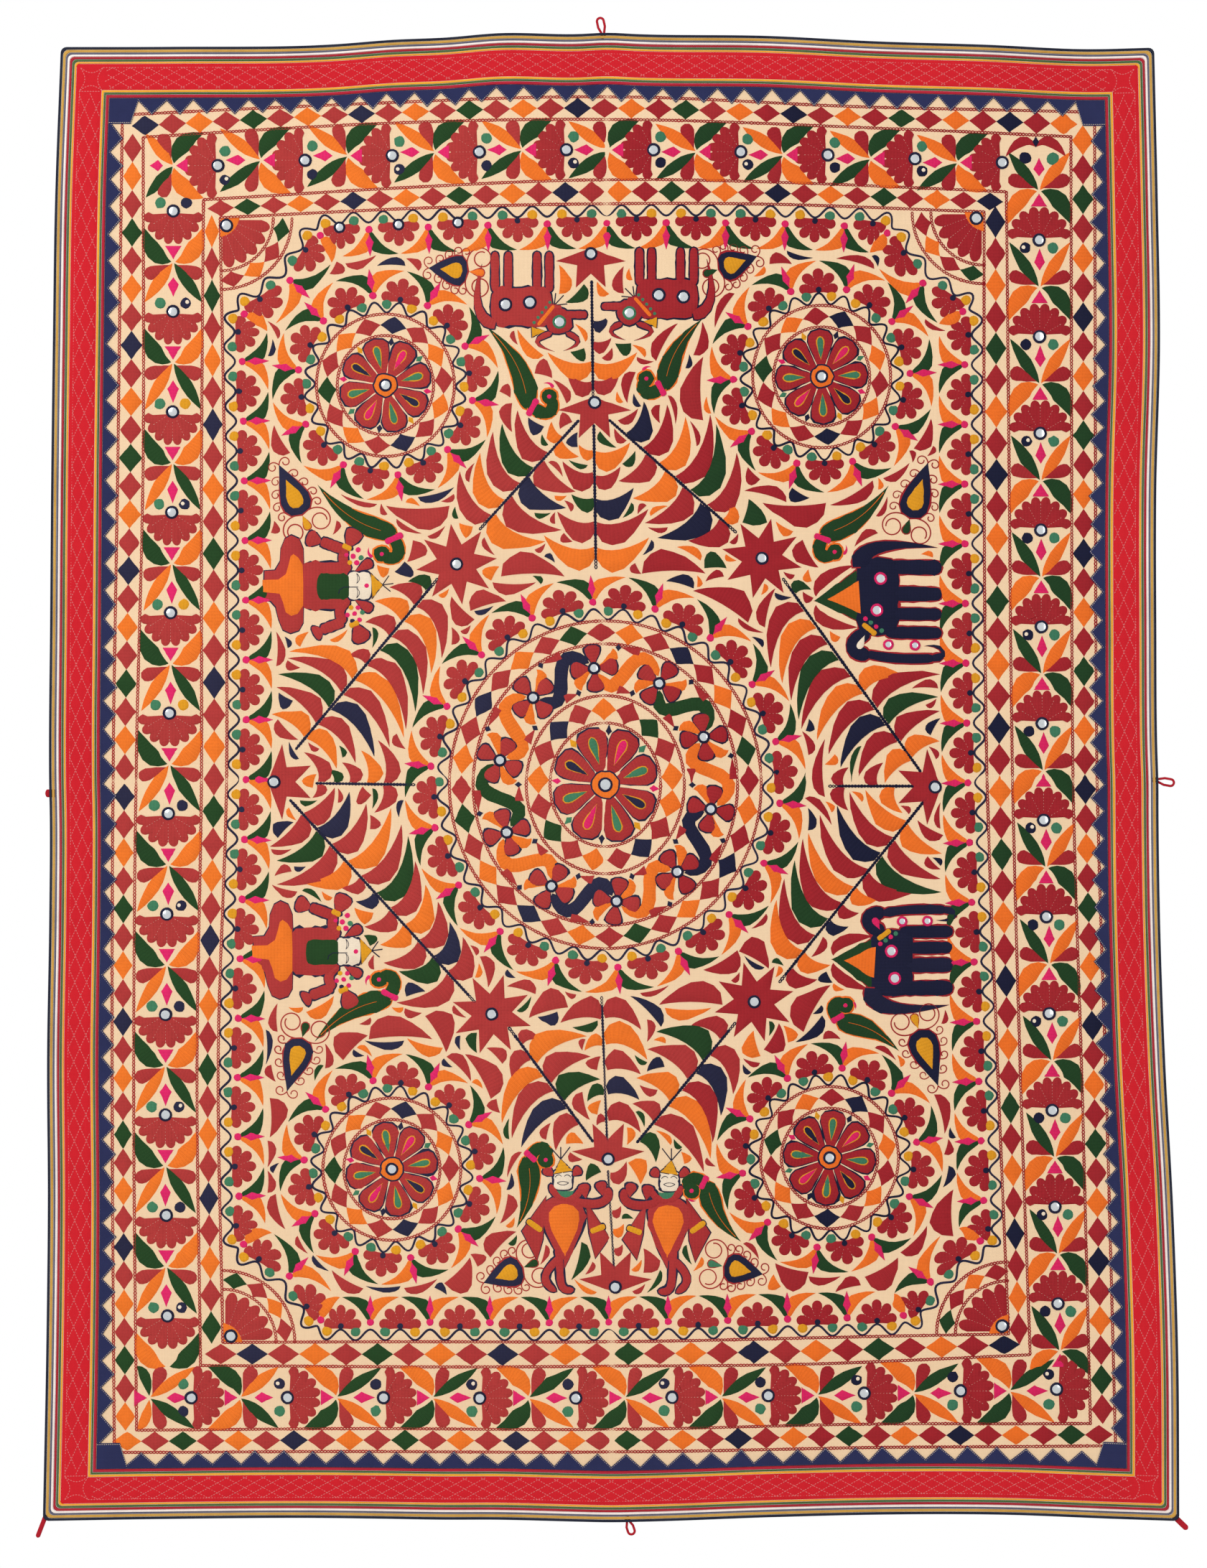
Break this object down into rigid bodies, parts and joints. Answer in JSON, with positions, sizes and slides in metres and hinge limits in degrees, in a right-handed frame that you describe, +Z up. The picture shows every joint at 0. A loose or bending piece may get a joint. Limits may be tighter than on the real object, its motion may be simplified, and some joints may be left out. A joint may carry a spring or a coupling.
{
  "type": "embroidered mirror work wall hanging",
  "caption": "Embroidered cotton wall hanging with small sewn-on mirrors, a sawtooth band, a quilted red border, narrow edge strips and tape loops to hang it by.",
  "frame": {"origin": "middle of the top edge, on the wall plane behind the hanging", "axes": "+Z up, +X to the right as seen from the front, and the embroidered front faces -Y"},
  "size_m": [1.6045, 0.0104, 2.118],
  "materials": {
    "cream_cotton": "plain woven cotton",
    "navy_cotton": "plain woven cotton",
    "red_quilted_cotton": "quilted plain woven cotton",
    "yellow_cotton": "folded cotton strip",
    "green_cotton": "folded cotton strip",
    "pink_cotton": "folded cotton strip",
    "dark_navy_binding": "folded cotton binding",
    "ochre_cotton": "folded cotton strip",
    "grey_blue_cotton": "folded cotton strip",
    "white_cotton": "folded cotton strip",
    "dark_red_cotton": "folded cotton strip",
    "mirror_glass": "silvered thin glass",
    "red_tape": "folded cotton tape",
    "maroon_thread": "chain stitched cotton thread",
    "orange_thread": "chain stitched cotton thread",
    "green_thread": "chain stitched cotton thread",
    "navy_thread": "chain stitched cotton thread",
    "pink_thread": "chain stitched cotton thread",
    "gold_thread": "chain stitched cotton thread",
    "sea_green_thread": "chain stitched cotton thread",
    "pale_thread": "running stitch in cotton thread"
  },
  "bodies": {
    "root": {"ground_panel": "cream_cotton", "sawtooth_top": "navy_cotton", "sawtooth_bottom": "navy_cotton", "sawtooth_left": "navy_cotton", "sawtooth_right": "navy_cotton", "border_red_top": "red_quilted_cotton", "border_red_bottom": "red_quilted_cotton", "border_red_left": "red_quilted_cotton", "border_red_right": "red_quilted_cotton", "piping_yellow_top": "yellow_cotton", "piping_yellow_bottom": "yellow_cotton", "piping_yellow_left": "yellow_cotton", "piping_yellow_right": "yellow_cotton", "piping_green_top": "green_cotton", "piping_green_bottom": "green_cotton", "piping_green_left": "green_cotton", "piping_green_right": "green_cotton", "piping_pink_top": "pink_cotton", "piping_pink_bottom": "pink_cotton", "piping_pink_left": "pink_cotton", "piping_pink_right": "pink_cotton", "binding_navy_top": "dark_navy_binding", "binding_navy_bottom": "dark_navy_binding", "binding_navy_left": "dark_navy_binding", "binding_navy_right": "dark_navy_binding", "strip_ochre_top": "ochre_cotton", "strip_ochre_bottom": "ochre_cotton", "strip_ochre_left": "ochre_cotton", "strip_ochre_right": "ochre_cotton", "strip_grey_blue_top": "grey_blue_cotton", "strip_grey_blue_bottom": "grey_blue_cotton", "strip_grey_blue_left": "grey_blue_cotton", "strip_grey_blue_right": "grey_blue_cotton", "strip_white_top": "white_cotton", "strip_white_bottom": "white_cotton", "strip_white_left": "white_cotton", "strip_white_right": "white_cotton", "strip_dark_red_top": "dark_red_cotton", "strip_dark_red_bottom": "dark_red_cotton", "strip_dark_red_left": "dark_red_cotton", "strip_dark_red_right": "dark_red_cotton", "strip_green_top": "green_cotton", "strip_green_bottom": "green_cotton", "strip_green_left": "green_cotton", "strip_green_right": "green_cotton", "strip_yellow_top": "yellow_cotton", "strip_yellow_bottom": "yellow_cotton", "strip_yellow_left": "yellow_cotton", "strip_yellow_right": "yellow_cotton", "mirror_centre": "mirror_glass", "mirror_top_left": "mirror_glass", "mirror_top_right": "mirror_glass", "mirror_bottom_left": "mirror_glass", "mirror_bottom_right": "mirror_glass", "loop_top": "red_tape", "loop_right": "red_tape", "loop_bottom": "red_tape", "tab_left": "red_tape", "tab_bottom_left": "red_tape", "tab_bottom_right": "red_tape"}
  },
  "joints": []
}
